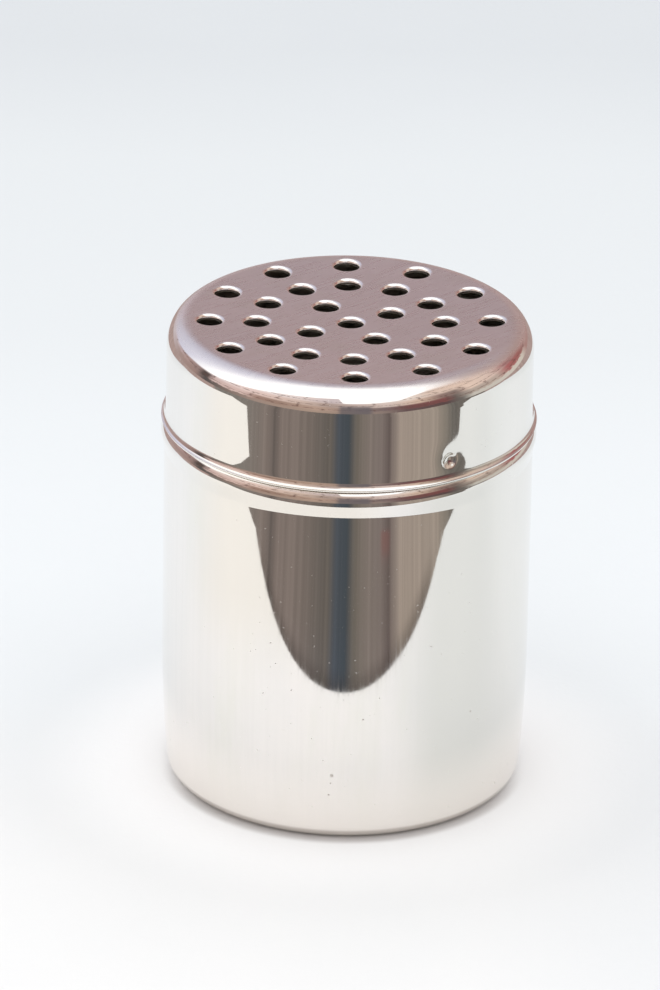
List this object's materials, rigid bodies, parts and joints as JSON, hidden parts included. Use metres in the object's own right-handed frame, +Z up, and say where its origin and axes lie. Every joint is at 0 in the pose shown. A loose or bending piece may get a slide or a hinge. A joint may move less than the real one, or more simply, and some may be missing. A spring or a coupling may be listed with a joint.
{
  "type": "spice shaker",
  "caption": "Polished steel spice shaker: a round drawn can with a bead under the neck, and a perforated lid with a flared lip that lifts off.",
  "frame": {"origin": "middle of the base, on the plane that the can stands on", "axes": "+Z up along the can's axis, -Y towards the side that is seen from the front, +X to the right of it"},
  "size_m": [0.0698, 0.0698, 0.091],
  "materials": {
    "can_steel": "mirror-polished drawn stainless steel",
    "lid_steel": "mirror-polished skirt with a finely brushed satin top"
  },
  "bodies": {
    "can": {"can": "can_steel"},
    "lid": {"lid": "lid_steel"}
  },
  "joints": [
    {"name": "lid_lift", "type": "slide", "parent": "can", "child": "lid", "axis": [0, 0, 1], "range_m": [0, 0.045]}
  ]
}
